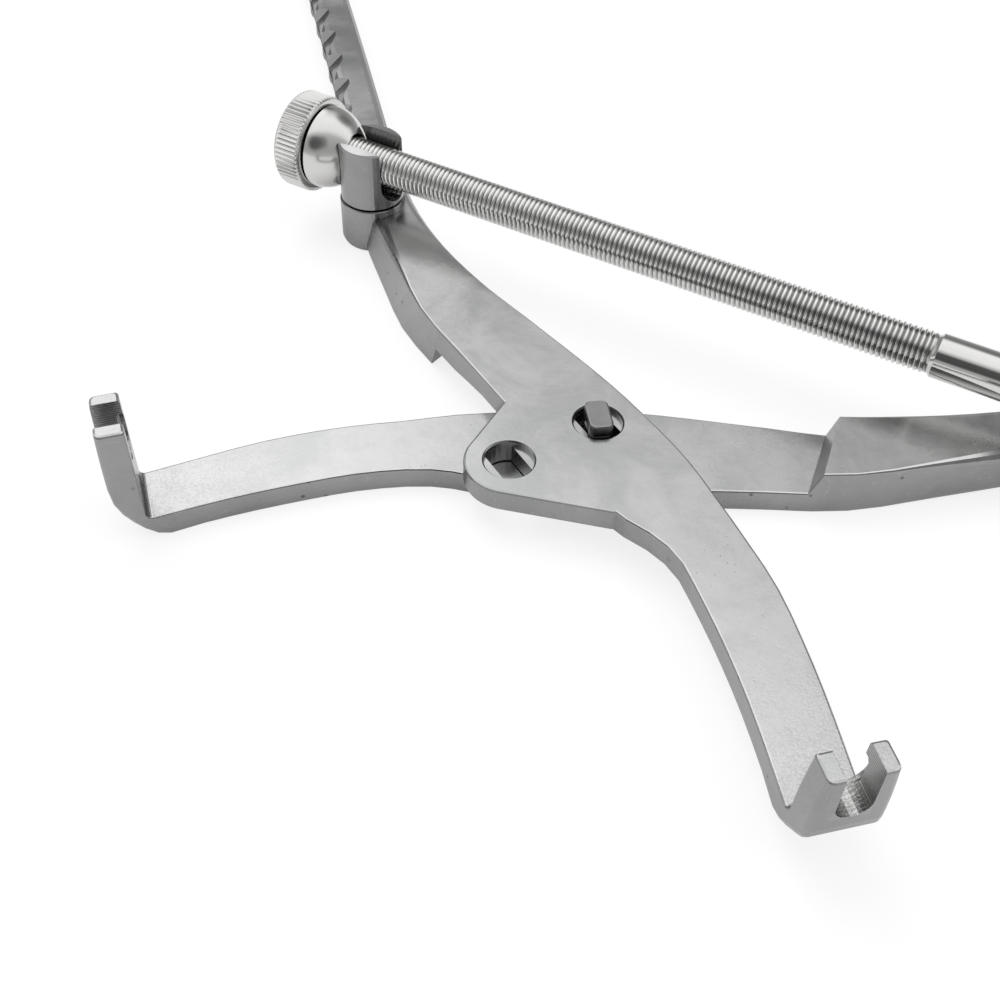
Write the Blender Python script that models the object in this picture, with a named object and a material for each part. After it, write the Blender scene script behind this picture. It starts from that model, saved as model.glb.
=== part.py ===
"""Pelvic reduction forceps: two crossing arms, a two-position pivot and a hinged screw spindle.

Sizes below are in millimetres. The origin is the pivot axis at the underside that the forceps
lie on, with +Z up. Both arms are drawn once, with the handle on the right, and the upper one is
the mirror image. The drawing is then turned about Z until the lower fork faces along -X.
"""
import math

import bmesh
import bpy
from mathutils import Matrix, Vector

MM = 0.001
GAP = 0.3                      # air left between two pieces that touch on the real instrument

# Arms
ARM_THICKNESS = 9.9            # handles
PLATE_THICKNESS = 4.8          # halved joint plates and jaws
EDGE_ROUND = 0.45              # jaws and joint plate
HANDLE_ROUND = 2.3             # soft corners of the handles
SIDE_FLARE = 2.6               # how far the upper arm's lower edge stands out by its post
PLATE_FLARE = 0.9              # and beside its joint plate
POST_REACH = 86.5              # pivot to post axis
POST_ANGLE = 27.5              # of the post above the X axis, arms open
HANDLE_LENGTH = 152.0          # post axis to handle end
HANDLE_ANGLE = 47.2            # of the handle above the X axis
HANDLE_END_ROUND = 5.2
PLATE_WIDTH = 20.8             # across the joint plate at the pivot
WAIST_WIDTH = 12.2             # between joint plate and post
HANDLE_WIDTH = 10.4
JAW_WIDTH = 12.8
SHOULDER_REACH = 43.8          # pivot to the step where the arm takes its full thickness
SHOULDER_SLOPE = 1.8           # run of the sloping step face
SHOULDER_SKEW = 2.9            # half of the step's slant across the arm
BOSS_RADIUS = 7.3
BOSS_RISE = 0.8                # boss above the arm's top

# Forks at the jaw ends
JAW_REACH = 86.0               # pivot to the notch centre
JAW_ANGLE = 40.9               # of the notch below the X axis
FORK_ANGLE = 47.0              # of the way the fork faces, below the X axis
FORK_WIDTH = 10.8              # at the tips
FORK_FLARE = 0.6               # how far each side stands out at the bend
FORK_INSIDE = 2.2              # notch centre to the inner face
FORK_OUTSIDE = 2.8             # notch centre to the outer face, at the tips
FORK_SWELL = 0.2               # how far the outer face stands out below the notch
FORK_CORNER = 1.1              # rounded upright edges of the outer face
FORK_RISE = 15.4               # tips above the arm's top
FORK_BEND = 1.1                # inner radius of the bend
FORK_SWEEP = 8.8               # reach of the long outer curve at the bend
FORK_LAND = 12.2               # start of that curve below the tips
FORK_HEEL = 1.8                # rounding of the outer corners at the bend
NOTCH_WIDTH = 5.7
NOTCH_DEPTH = 10.1
POCKET_RADIUS = 4.1            # round pocket for the screw head
POCKET_DROP = 5.8              # pocket centre below the tips
POCKET_DEPTH = 1.2

# Two-position pivot
HOLE_RADIUS = 4.65             # round recess of each pivot hole
HOLE_RECESS = 1.1
SLOT_WIDTH = 5.75              # slot below the recess
SLOT_ANGLE = 29.5
HOLE_SPACING = 19.7
HOLE_ANGLE = -61.4             # of the second hole, seen from the first
LOBE_RADIUS = 8.3              # plate around the second hole
HEAD_LENGTH = 7.4
HEAD_WIDTH = 4.6
HEAD_THICKNESS = 2.9
HEAD_CORNER = 1.4
HEAD_ANGLE = -52.4
NECK_RADIUS = 2.5
RIVET_RADIUS = 3.2             # pin inside the lower arm
RIVET_HEAD_RADIUS = 4.6

# Swivel posts
POST_RADIUS = 7.0
POST_RISE = 14.3               # edge of the domed top above the arm's top
POST_DOME = 0.7
SPIGOT_RADIUS = 3.6
PEEN_RADIUS = 4.9
PEEN_THICKNESS = 0.8
PEEN_LIFT = 0.2                # riveted end above the underside
WASHER_RADIUS = 5.4
WASHER_THICKNESS = 1.0
SADDLE_RISE = 2.1              # floor of the open slot above the arm's top
PIN_RADIUS = 1.65
TONGUE_THICKNESS = 5.0
TONGUE_RADIUS = 5.6

# Spindle and nut
SPINDLE_RISE = 9.5             # spindle axis above the arm's top
SPINDLE_RADIUS = 4.1
SHANK_RADIUS = 4.35
SHANK_LENGTH = 26.2            # smooth part, measured from the hinge pin
SHANK_START = 8.2
NOSE_RADIUS = 9.1              # ball that seats in the slotted post
NOSE_OFFSET = 12.0             # ball centre to post axis
WHEEL_RADIUS = 10.6
WHEEL_THICKNESS = 6.7
WHEEL_BORE = 7.3
KNURL_COUNT = 60
KNURL_DEPTH = 0.4

# Finger grip on the handles
GRIP_START = 40.0              # post axis to the first notch
GRIP_PITCH = 13.2
GRIP_MARGIN = 8.0              # plain end of the handle beyond the last notch
GRIP_DEPTH = 4.3               # at the top and bottom faces
GRIP_RAMP = 10.6               # long side of each notch
GRIP_STEP = 2.6                # short side of each notch

ROUND_SEGMENTS = 48
SMALL_SEGMENTS = 28
CORNER_POINTS = 4
STATION_STEP = 5.0             # spacing of the cross-sections along an arm


def polar(angle, radius):
    """Point at an angle in degrees and a distance from the pivot."""
    turn = math.radians(angle)
    return Vector((radius * math.cos(turn), radius * math.sin(turn)))


def arc(centre, radius, start, end, count):
    """Points from start to end, in degrees, around a centre."""
    steps = [start + (end - start) * i / (count - 1) for i in range(count)]
    return [Vector(centre) + polar(angle, radius) for angle in steps]


BOSS_TOP = ARM_THICKNESS + BOSS_RISE
POST_TOP = ARM_THICKNESS + POST_RISE
FORK_TOP = ARM_THICKNESS + FORK_RISE
SPINDLE_HEIGHT = ARM_THICKNESS + SPINDLE_RISE
POST = polar(POST_ANGLE, POST_REACH)
FORK = polar(180.0 + JAW_ANGLE, JAW_REACH)
SECOND_HOLE = polar(HOLE_ANGLE, HOLE_SPACING)


# Meshes

def clear_scene():
    for item in list(bpy.data.objects):
        bpy.data.objects.remove(item, do_unlink=True)


def steel(name, colour, roughness):
    """Stainless steel with its own tone and polish."""
    made = bpy.data.materials.new(name)
    made.use_nodes = True
    shader = made.node_tree.nodes["Principled BSDF"]
    shader.inputs["Base Color"].default_value = (*colour, 1.0)
    shader.inputs["Roughness"].default_value = roughness
    shader.inputs["Metallic"].default_value = 1.0
    return made


def add_object(name, bm, finish=None, parent=None, smooth_angle=32.0):
    """Turn a closed bmesh, drawn in millimetres, into a named object in metres."""
    bmesh.ops.scale(bm, vec=(MM, MM, MM), verts=bm.verts)
    bmesh.ops.recalc_face_normals(bm, faces=bm.faces)
    mesh = bpy.data.meshes.new(name)
    bm.to_mesh(mesh)
    bm.free()
    mesh.shade_smooth()
    mesh.set_sharp_from_angle(angle=math.radians(smooth_angle))
    made = bpy.data.objects.new(name, mesh)
    bpy.context.scene.collection.objects.link(made)
    made.parent = parent
    if finish is None:
        made.hide_render = True
        made.display_type = "WIRE"
    else:
        mesh.materials.append(finish)
    return made


def combine(target, tool, operation):
    """Cut a hidden tool shape out of a piece, or weld it on."""
    modifier = target.modifiers.new(tool.name, "BOOLEAN")
    modifier.operation = operation
    modifier.solver = "EXACT"
    modifier.object = tool


def loft(rings):
    """Skin rings of equal length, with a flat cap at each end."""
    bm = bmesh.new()
    skins = [[bm.verts.new(point) for point in ring] for ring in rings]
    count = len(rings[0])
    for near, far in zip(skins, skins[1:]):
        for i in range(count):
            j = (i + 1) % count
            bm.faces.new((near[i], near[j], far[j], far[i]))
    bm.faces.new(reversed(skins[0]))
    bm.faces.new(skins[-1])
    return bm


def prism(outline, low, high, place=Matrix.Identity(4)):
    """Extrude a flat outline from low to high, then put it in place."""
    rings = [[place @ Vector((x, y, z)) for x, y in outline] for z in (low, high)]
    return loft(rings)


def turned(profile, segments, place=Matrix.Identity(4), radius_at=None):
    """Turn a profile of (radius, height) pairs about Z. A first and last radius of zero close it.

    A profile that never meets the axis is closed on itself, as a ring.
    """
    bm = bmesh.new()
    rings = []
    for radius, height in profile:
        if radius == 0.0:
            rings.append([bm.verts.new(place @ Vector((0.0, 0.0, height)))])
            continue
        ring = []
        for i in range(segments):
            turn = 2.0 * math.pi * i / segments
            reach = radius if radius_at is None else radius_at(radius, i)
            point = Vector((reach * math.cos(turn), reach * math.sin(turn), height))
            ring.append(bm.verts.new(place @ point))
        rings.append(ring)
    pairs = list(zip(rings, rings[1:]))
    if len(rings[0]) > 1:
        pairs.append((rings[-1], rings[0]))
    for near, far in pairs:
        for i in range(segments):
            j = (i + 1) % segments
            if len(near) == 1:
                bm.faces.new((near[0], far[j], far[i]))
            elif len(far) == 1:
                bm.faces.new((near[i], near[j], far[0]))
            else:
                bm.faces.new((near[i], near[j], far[j], far[i]))
    return bm


def ball_arc(radius, start, end, count):
    """Profile points on a ball about the origin, angles in degrees from the +Z pole."""
    steps = [math.radians(start + (end - start) * i / (count - 1)) for i in range(count)]
    return [(radius * math.sin(turn), radius * math.cos(turn)) for turn in steps]


def wrap(circles, inset, count=48):
    """Outline of a string pulled round a set of circles, given as (x, y, radius)."""
    outline = []
    for i in range(count):
        way = polar(360.0 * i / count, 1.0)
        x, y, radius = max(circles, key=lambda c: c[0] * way.x + c[1] * way.y + c[2])
        outline.append((x + (radius - inset) * way.x, y + (radius - inset) * way.y))
    return outline


def rounded_plate(circles, low, high, edge, mirror=1.0):
    """A plate with the outline of wrap() and rounded edges."""
    soft = edge * (1.0 - math.sqrt(0.5))
    levels = [(low, edge), (low + soft, soft), (low + edge, 0.0),
              (high - edge, 0.0), (high - soft, soft), (high, edge)]
    rings = []
    for height, inset in levels:
        rings.append([(mirror * x, y, height) for x, y in wrap(circles, inset)])
    return loft(rings)


# Arms

def post_line(along, bow):
    """Point beside the line from the pivot to the post, bowed towards the jaws."""
    return polar(POST_ANGLE, along) + polar(POST_ANGLE - 90.0, bow)


def handle_line(along, bow):
    """Point beside the line along the handle, measured from the post."""
    return POST + polar(HANDLE_ANGLE, along) + polar(HANDLE_ANGLE - 90.0, bow)


def jaw_line(along, bow):
    """Point beside the line from the pivot to the fork, bowed towards the other jaw."""
    return polar(180.0 + JAW_ANGLE, along) + polar(270.0 + JAW_ANGLE, bow)


def across(line, along, back, front):
    """Centre and width of an arm from the offsets of its two edges beside a line."""
    return line(along, (back + front) / 2.0), front - back


def spine_keys(upper):
    """Centre and width of an arm at a few places, from the handle end to the fork.

    The two forged arms differ a little: the lower one is fuller at the post and in the throat.
    """
    inner = JAW_REACH - FORK_INSIDE
    half = HANDLE_WIDTH / 2.0
    root = FORK_WIDTH / 2.0 + FORK_FLARE
    full = 0.0 if upper else 1.0
    return [
        across(handle_line, HANDLE_LENGTH, -5.0 - half, -4.6 + half),
        across(handle_line, 0.56 * HANDLE_LENGTH, -4.6 - half, -4.6 + half),
        across(handle_line, 0.30 * HANDLE_LENGTH, -4.0 - half, -4.2 + half),
        across(handle_line, 0.13 * HANDLE_LENGTH, -3.6 - half, -3.6 + half),
        across(post_line, POST_REACH, -9.1 - 1.9 * full, 1.2),
        across(post_line, 0.70 * POST_REACH, -4.5 - 1.4 * full, WAIST_WIDTH - 4.5),
        across(post_line, 0.525 * POST_REACH, -4.6, WAIST_WIDTH - 1.0),
        across(post_line, 0.35 * POST_REACH, -6.3, PLATE_WIDTH - 9.1),
        (Vector((0.7, -1.5)), PLATE_WIDTH),
        across(jaw_line, 0.25 * JAW_REACH, 0.8 * full - 12.6, 5.6 + 0.2 * full),
        across(jaw_line, 0.32 * JAW_REACH, 0.6 * full - 12.8, 2.2 + 1.0 * full),
        across(jaw_line, 0.387 * JAW_REACH, 0.9 * full - 12.9, 0.4 + 1.4 * full),
        across(jaw_line, 0.52 * JAW_REACH, 0.8 * full - JAW_WIDTH - 0.3, 0.4 + 0.5 * full),
        across(jaw_line, 0.677 * JAW_REACH, 1.4 - JAW_WIDTH, 1.5 + 0.3 * full),
        across(jaw_line, 0.87 * JAW_REACH, 4.7 - JAW_WIDTH, 4.1),
        across(jaw_line, inner, -root, root),
    ]


class Spine:
    """Smooth centre line of an arm with a width, measured from the handle end."""

    def __init__(self, keys):
        self.rows = [(point.x, point.y, width) for point, width in keys]
        self.at = [0.0]
        for here, there in zip(keys, keys[1:]):
            self.at.append(self.at[-1] + (there[0] - here[0]).length)
        self.length = self.at[-1]
        self.slopes = [self._slope(i) for i in range(len(self.rows))]

    def _slope(self, i):
        last = len(self.rows) - 1
        if i in (0, last):
            a, b = (0, 1) if i == 0 else (last - 1, last)
            run = self.at[b] - self.at[a]
            return [(q - p) / run for p, q in zip(self.rows[a], self.rows[b])]
        before = self.at[i] - self.at[i - 1]
        after = self.at[i + 1] - self.at[i]
        slopes = []
        for p, q, r in zip(self.rows[i - 1], self.rows[i], self.rows[i + 1]):
            slopes.append(((q - p) / before * after + (r - q) / after * before) / (before + after))
        return slopes

    def row(self, t):
        """x, y and width at a distance along the arm."""
        t = min(max(t, 0.0), self.length)
        i = max(k for k in range(len(self.at) - 1) if self.at[k] <= t)
        run = self.at[i + 1] - self.at[i]
        u = (t - self.at[i]) / run
        blend = (2 * u**3 - 3 * u**2 + 1, run * (u**3 - 2 * u**2 + u),
                 3 * u**2 - 2 * u**3, run * (u**3 - u**2))
        parts = zip(self.rows[i], self.slopes[i], self.rows[i + 1], self.slopes[i + 1])
        return [sum(f * part for f, part in zip(blend, four)) for four in parts]

    def edge(self, t, side):
        """Point on the outline: side +1 is the edge nearer the jaws, -1 the other one."""
        step = 0.5
        x, y, width = self.row(t)
        ahead, behind = self.row(t + step), self.row(t - step)
        along = Vector((ahead[0] - behind[0], ahead[1] - behind[1])).normalized()
        return Vector((x, y)) + side * width / 2.0 * Vector((-along.y, along.x))


def section(back, front, low, high, edge, flare=0.0):
    """Rounded rectangle standing on edge between two outline points. Its lower front may flare."""
    middle = (back + front) / 2.0
    across = (front - back).normalized().to_3d()
    half = (front - back).length / 2.0
    centre = Vector((middle.x, middle.y, (low + high) / 2.0))
    ring = rounded_ring(centre, across, Vector((0.0, 0.0, 1.0)), half, (high - low) / 2.0, edge, edge)
    flared = []
    for point in ring:
        side = max((point - centre).dot(across) / half, 0.0)
        flared.append(point + across * (flare * side * (high - point.z) / (high - low)))
    return flared


def rounded_ring(centre, across, up, half_width, half_height, upper_edge, lower_edge):
    """Rounded rectangle in the plane of two unit vectors."""
    corners = [(1, 1, 0.0), (-1, 1, 90.0), (-1, -1, 180.0), (1, -1, 270.0)]
    ring = []
    for sx, sy, start in corners:
        edge = upper_edge if sy > 0 else lower_edge
        middle = (sx * (half_width - edge), sy * (half_height - edge))
        for point in arc(middle, edge, start, start + 90.0, CORNER_POINTS):
            ring.append(centre + across * point.x + up * point.y)
    return ring


def smooth_step(value):
    value = min(max(value, 0.0), 1.0)
    return value * value * (3.0 - 2.0 * value)


def handle_rings(spine, shoulder, upper):
    """Cross-sections from the rounded handle end to the step."""
    rings = []
    ends = [HANDLE_END_ROUND * (1.0 - math.cos(math.radians(a))) for a in (12, 35, 58, 78)]
    count = round((shoulder - HANDLE_END_ROUND) / STATION_STEP)
    steps = [HANDLE_END_ROUND + (shoulder - HANDLE_END_ROUND) * i / count for i in range(count + 1)]
    for t in ends + steps:
        skew = SHOULDER_SKEW * math.exp(-((t - shoulder) / 10.0) ** 2)
        back, front = spine.edge(t - skew, -1), spine.edge(t + skew, 1)
        left = min(t / HANDLE_END_ROUND, 1.0)
        fill = math.sqrt(1.0 - (1.0 - left) ** 2)
        middle = (back + front) / 2.0
        back, front = middle + (back - middle) * fill, middle + (front - middle) * fill
        sink = (1.0 - fill) * HANDLE_ROUND
        soft = smooth_step((shoulder - t - 4.0) / 40.0)
        edge = (EDGE_ROUND + (HANDLE_ROUND - EDGE_ROUND) * soft) * (0.25 + 0.75 * fill)
        post = spine.length_to_post
        flare = PLATE_FLARE + (SIDE_FLARE - PLATE_FLARE) * smooth_step((shoulder - t) / 14.0)
        flare *= smooth_step((t - 0.9 * post) / (0.15 * post)) if upper else 0.0
        rings.append(section(back, front, sink, ARM_THICKNESS - sink, edge, flare))
    return rings


def plate_rings(spine, shoulder, low, high, upper):
    """Cross-sections from the step through the joint plate and along the jaw."""
    rings = []
    start = shoulder + SHOULDER_SLOPE
    end = spine.length - FORK_SWEEP
    count = round((end - start) / STATION_STEP)
    for i in range(count + 1):
        t = start + (end - start) * i / count
        skew = SHOULDER_SKEW * math.exp(-((t - shoulder) / 10.0) ** 2)
        back, front = spine.edge(t - skew, -1), spine.edge(t + skew, 1)
        flare = PLATE_FLARE * smooth_step((shoulder + 22.0 - t) / 12.0) if upper else 0.0
        rings.append(section(back, front, low, high, EDGE_ROUND, flare))
    return rings


def fork_axes():
    """Way the fork faces, and the way across it."""
    facing = polar(180.0 + FORK_ANGLE, 1.0).to_3d()
    return facing, Vector((-facing.y, facing.x, 0.0))


def fork_rings(low, high):
    """Cross-sections round the bend and up the fork.

    The inner side bends sharply. The outer side follows a quarter of a long ellipse.
    """
    facing, across = fork_axes()
    inside = FORK.to_3d() - facing * (FORK_INSIDE + FORK_BEND)
    inside.z = high + FORK_BEND
    outside = FORK.to_3d() + facing * (FORK_OUTSIDE + FORK_SWELL - FORK_SWEEP)
    outside.z = FORK_TOP - FORK_LAND
    tip = FORK_WIDTH / 2.0
    root = tip + FORK_FLARE
    rings = []
    for turn in (0.0, 15.0, 30.0, 45.0, 60.0, 75.0, 90.0):
        a = math.radians(turn)
        near = inside + facing * (FORK_BEND * math.sin(a))
        near.z -= FORK_BEND * math.cos(a)
        far = outside + facing * (FORK_SWEEP * math.sin(a))
        far.z -= (FORK_TOP - FORK_LAND - low) * math.cos(a)
        heel = EDGE_ROUND + (FORK_HEEL - EDGE_ROUND) * math.sin(2.0 * a) ** 2
        heel = max(heel, FORK_CORNER * turn / 90.0)
        inward = (near - far).normalized()
        half = (near - far).length / 2.0
        rings.append(rounded_ring((near + far) / 2.0, across, inward, root, half, EDGE_ROUND, heel))
    land = FORK_TOP - NOTCH_DEPTH - 0.4
    rings.append(fork_section(land, root, FORK_SWELL, 0.0))
    rings.append(fork_section(land + 0.35 * NOTCH_DEPTH, root - 0.2 * FORK_FLARE, 0.85 * FORK_SWELL, 0.0))
    rings.append(fork_section(land + 0.7 * NOTCH_DEPTH, root - 0.6 * FORK_FLARE, 0.45 * FORK_SWELL, 0.0))
    for drop, inset in ((EDGE_ROUND, 0.0), (0.3 * EDGE_ROUND, 0.3 * EDGE_ROUND), (0.0, EDGE_ROUND)):
        rings.append(fork_section(FORK_TOP - drop, tip, 0.0, inset))
    return rings


def fork_section(height, half_width, swell, inset):
    """Level cross-section of the upright fork. The swell thickens it on the outer face."""
    facing, across = fork_axes()
    outside = FORK_OUTSIDE + swell
    centre = FORK.to_3d() + facing * ((outside - FORK_INSIDE) / 2.0)
    centre.z = height
    half = (outside + FORK_INSIDE) / 2.0
    return rounded_ring(centre, across, -facing, half_width - inset, half - inset,
                        EDGE_ROUND, FORK_CORNER - inset / 2.0)


def mirrored(point, mirror):
    return Vector((mirror * point.x, point.y, point.z))


def fork_tools(name, mirror, parent):
    """The open notch and the round pocket behind it."""
    facing, across = fork_axes()
    up = Vector((0.0, 0.0, 1.0))
    floor = FORK_TOP - NOTCH_DEPTH + NOTCH_WIDTH / 2.0
    outline = arc((0.0, floor), NOTCH_WIDTH / 2.0, 180.0, 360.0, 15)
    above = FORK_TOP + 5.0
    outline += [Vector((NOTCH_WIDTH / 2.0, above)), Vector((-NOTCH_WIDTH / 2.0, above))]

    def place(x, y, z):
        return mirrored(FORK.to_3d() + across * x + up * y + facing * z, mirror)

    notch = loft([[place(p.x, p.y, depth) for p in outline] for depth in (-8.0, 8.0)])
    back = -FORK_INSIDE
    middle = (0.0, FORK_TOP - POCKET_DROP)
    ring = arc(middle, POCKET_RADIUS, 0.0, 360.0, SMALL_SEGMENTS + 1)[:-1]
    rim = arc(middle, POCKET_RADIUS - 0.5, 0.0, 360.0, SMALL_SEGMENTS + 1)[:-1]
    pocket = loft([
        [place(p.x, p.y, back - 3.0) for p in ring],
        [place(p.x, p.y, back + POCKET_DEPTH - 0.5) for p in ring],
        [place(p.x, p.y, back + POCKET_DEPTH) for p in rim],
    ])
    return [add_object(name + "_notch", notch, parent=parent),
            add_object(name + "_pocket", pocket, parent=parent)]


def grip_tool(name, spine, mirror, parent):
    """Slanting notches along the outer side of the handle, cut from above and below."""
    bm = bmesh.new()
    middle = ARM_THICKNESS / 2.0
    end = spine.length_to_post
    room = HANDLE_LENGTH - GRIP_START - GRIP_RAMP - GRIP_MARGIN
    for i in range(1 + int(room / GRIP_PITCH)):
        along = end - GRIP_START - GRIP_PITCH * i
        depth = GRIP_DEPTH * (0.7 if i == 0 else 1.0)
        places = [(along + GRIP_RAMP, 0.0), (along, depth), (along - GRIP_STEP, 0.0)]
        for face in (-1.0, 1.0):
            verts = []
            for t, cut in places:
                x, y, width = spine.row(t)
                side = spine.edge(t, 1) - Vector((x, y))
                outward = side.normalized()
                corners = ((cut, middle + 1.0), (0.1 * cut, 0.2), (-3.0, middle + 1.0), (-3.0, 0.2))
                for inward, level in corners:
                    point = Vector((x, y)) + side - outward * inward
                    verts.append(bm.verts.new((mirror * point.x, point.y, middle + face * level)))
            hull = bmesh.ops.convex_hull(bm, input=verts)
            bmesh.ops.delete(bm, geom=hull["geom_interior"], context="VERTS")
    return add_object(name + "_grip", bm, parent=parent)


def pivot_hole_tools(name, centre, mirror, parent):
    """Round recess on top and the slot with rounded ends below it."""
    spot = Matrix.Translation((mirror * centre.x, centre.y, 0.0))
    top = ARM_THICKNESS
    floor = top - HOLE_RECESS
    recess = turned([(0.0, floor), (HOLE_RADIUS, floor), (HOLE_RADIUS, top - 0.3),
                     (HOLE_RADIUS + 0.4, top + 0.1), (HOLE_RADIUS + 0.4, top + 1.0), (0.0, top + 1.0)],
                    ROUND_SEGMENTS, spot)
    half = math.degrees(math.asin(SLOT_WIDTH / 2.0 / HOLE_RADIUS))
    ends = arc((0.0, 0.0), HOLE_RADIUS, -half, half, 7)
    ends += arc((0.0, 0.0), HOLE_RADIUS, 180.0 - half, 180.0 + half, 7)
    turn = Matrix.Rotation(math.radians(mirror * SLOT_ANGLE), 4, "Z")
    low = ARM_THICKNESS - PLATE_THICKNESS - 1.0
    slot = prism([(p.x, p.y) for p in ends], low, floor + 0.5, spot @ turn)
    return [add_object(name + "_recess", recess, parent=parent),
            add_object(name + "_slot", slot, parent=parent)]


def boss_tools(name, mirror, parent):
    """Boss under a swivel post, and the stepped bore through it."""
    spot = Matrix.Translation((mirror * POST.x, POST.y, 0.0))
    boss = turned([(0.0, 0.03), (BOSS_RADIUS - 1.2, 0.03), (BOSS_RADIUS - 0.35, 0.4), (BOSS_RADIUS, 1.25),
                   (BOSS_RADIUS, BOSS_TOP - 0.2), (BOSS_RADIUS - 0.2, BOSS_TOP), (0.0, BOSS_TOP)],
                  ROUND_SEGMENTS, spot)
    seat = washer_seat()
    bore = turned([(0.0, -1.0), (WASHER_RADIUS + GAP, -1.0), (WASHER_RADIUS + GAP, seat),
                   (SPIGOT_RADIUS + GAP, seat), (SPIGOT_RADIUS + GAP, BOSS_TOP + 1.0),
                   (0.0, BOSS_TOP + 1.0)], SMALL_SEGMENTS, spot)
    return add_object(name + "_boss", boss, parent=parent), add_object(name + "_bore", bore, parent=parent)


def washer_seat():
    """Depth of the recess that takes the washer and the riveted end."""
    return PEEN_LIFT + PEEN_THICKNESS + GAP + WASHER_THICKNESS + GAP


def make_arm(name, finish, parent, mirror, low, upper):
    """One arm. The joint plate and jaw fill the thickness from low upwards."""
    spine = Spine(spine_keys(upper))
    pivot_at = spine.at[8]
    spine.length_to_post = spine.at[4]
    shoulder = pivot_at - SHOULDER_REACH
    high = low + PLATE_THICKNESS
    rings = handle_rings(spine, shoulder, upper)
    rings += plate_rings(spine, shoulder, low, high, upper)
    rings += fork_rings(low, high)
    body = loft([[mirrored(point, mirror) for point in ring] for ring in rings])
    arm = add_object(name, body, finish, parent)
    boss, bore = boss_tools(name, mirror, parent)
    combine(arm, boss, "UNION")
    combine(arm, bore, "DIFFERENCE")
    combine(arm, grip_tool(name, spine, mirror, parent), "DIFFERENCE")
    for tool in fork_tools(name, mirror, parent):
        combine(arm, tool, "DIFFERENCE")
    return arm


def make_upper_arm(finish, parent):
    """The arm with the lobe and the two slotted pivot holes."""
    low = ARM_THICKNESS - PLATE_THICKNESS
    arm = make_arm("upper_arm", finish, parent, -1.0, low, True)
    circles = [(SECOND_HOLE.x, SECOND_HOLE.y, LOBE_RADIUS), (15.4, -1.7, 2.5),
               (-11.5, -17.0, 2.4), (0.0, 0.0, 8.0)]
    lobe = rounded_plate(circles, low, ARM_THICKNESS, EDGE_ROUND, -1.0)
    combine(arm, add_object("upper_arm_lobe", lobe, parent=parent), "UNION")
    for label, centre in (("first_hole", Vector((0.0, 0.0))), ("second_hole", SECOND_HOLE)):
        for tool in pivot_hole_tools(label, centre, -1.0, parent):
            combine(arm, tool, "DIFFERENCE")
    return arm


def rivet_profile(clearance):
    """Lower end of the pivot pin, inside the lower arm, or its hole with a clearance."""
    return [(RIVET_HEAD_RADIUS + clearance, 0.0), (RIVET_RADIUS + clearance, 1.4)]


def make_lower_arm(finish, parent):
    """The arm that carries the pivot pin."""
    arm = make_arm("lower_arm", finish, parent, 1.0, 0.0, False)
    (wide, foot), (narrow, neck) = rivet_profile(GAP)
    hole = turned([(0.0, -1.0), (wide + 1.0, -1.0), (wide, foot), (narrow, neck),
                   (narrow, PLATE_THICKNESS + 1.0), (0.0, PLATE_THICKNESS + 1.0)], SMALL_SEGMENTS)
    combine(arm, add_object("lower_arm_pivot_hole", hole, parent=parent), "DIFFERENCE")
    return arm


def make_pivot_pin(finish, parent):
    """Pin with an oblong head that passes the slot in one position only."""
    (wide, foot), (narrow, neck) = rivet_profile(0.0)
    seat = ARM_THICKNESS - HOLE_RECESS + GAP
    stem = turned([(0.0, foot), (wide, foot), (narrow, neck), (narrow, PLATE_THICKNESS),
                   (NECK_RADIUS, PLATE_THICKNESS), (NECK_RADIUS, seat + 0.5), (0.0, seat + 0.5)],
                  SMALL_SEGMENTS)
    pin = add_object("pivot_pin", stem, finish, parent)
    half_length, half_width = HEAD_LENGTH / 2.0 - HEAD_CORNER, HEAD_WIDTH / 2.0 - HEAD_CORNER
    circles = [(sx * half_length, sy * half_width, HEAD_CORNER) for sx in (-1, 1) for sy in (-1, 1)]
    head = rounded_plate(circles, seat, seat + HEAD_THICKNESS, 0.4)
    bmesh.ops.rotate(head, cent=(0.0, 0.0, 0.0), verts=head.verts,
                     matrix=Matrix.Rotation(math.radians(HEAD_ANGLE), 3, "Z"))
    combine(pin, add_object("pivot_pin_head", head, parent=parent), "UNION")
    return pin


# Swivel posts

def post_body():
    """Round post with its spigot and riveted end."""
    base = BOSS_TOP + GAP
    peen_top = PEEN_LIFT + PEEN_THICKNESS
    dome = []
    for i in range(5):
        reach = (POST_RADIUS - 0.5) * (1.0 - i / 4.0)
        rise = POST_DOME * (1.0 - (reach / (POST_RADIUS - 0.5)) ** 2)
        dome.append((reach, POST_TOP + 0.3 + rise))
    return turned([(0.0, PEEN_LIFT), (PEEN_RADIUS - 0.4, PEEN_LIFT), (PEEN_RADIUS, PEEN_LIFT + 0.3),
                   (PEEN_RADIUS, peen_top), (SPIGOT_RADIUS, peen_top), (SPIGOT_RADIUS, base),
                   (POST_RADIUS - 0.2, base), (POST_RADIUS, base + 0.2), (POST_RADIUS, POST_TOP)] + dome,
                  ROUND_SEGMENTS)


def slot_tool(name, half_width, floor, corner, parent):
    """Open slot along X with rounded floor corners."""
    flat = half_width - corner
    outline = arc((-flat, floor + corner), corner, 180.0, 270.0, 7)
    outline += arc((flat, floor + corner), corner, 270.0, 360.0, 7)
    outline += [Vector((half_width, POST_TOP + 5.0)), Vector((-half_width, POST_TOP + 5.0))]
    rings = [[Vector((x, p.x, p.y)) for p in outline] for x in (-POST_RADIUS - 2.0, POST_RADIUS + 2.0)]
    return add_object(name, loft(rings), parent=parent)


def along_x(offset=0.0):
    """Placement that lays a turned shape's axis along +X at spindle height."""
    lay = Matrix.Rotation(math.radians(90.0), 4, "Y")
    return Matrix.Translation((offset, 0.0, SPINDLE_HEIGHT)) @ lay


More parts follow.
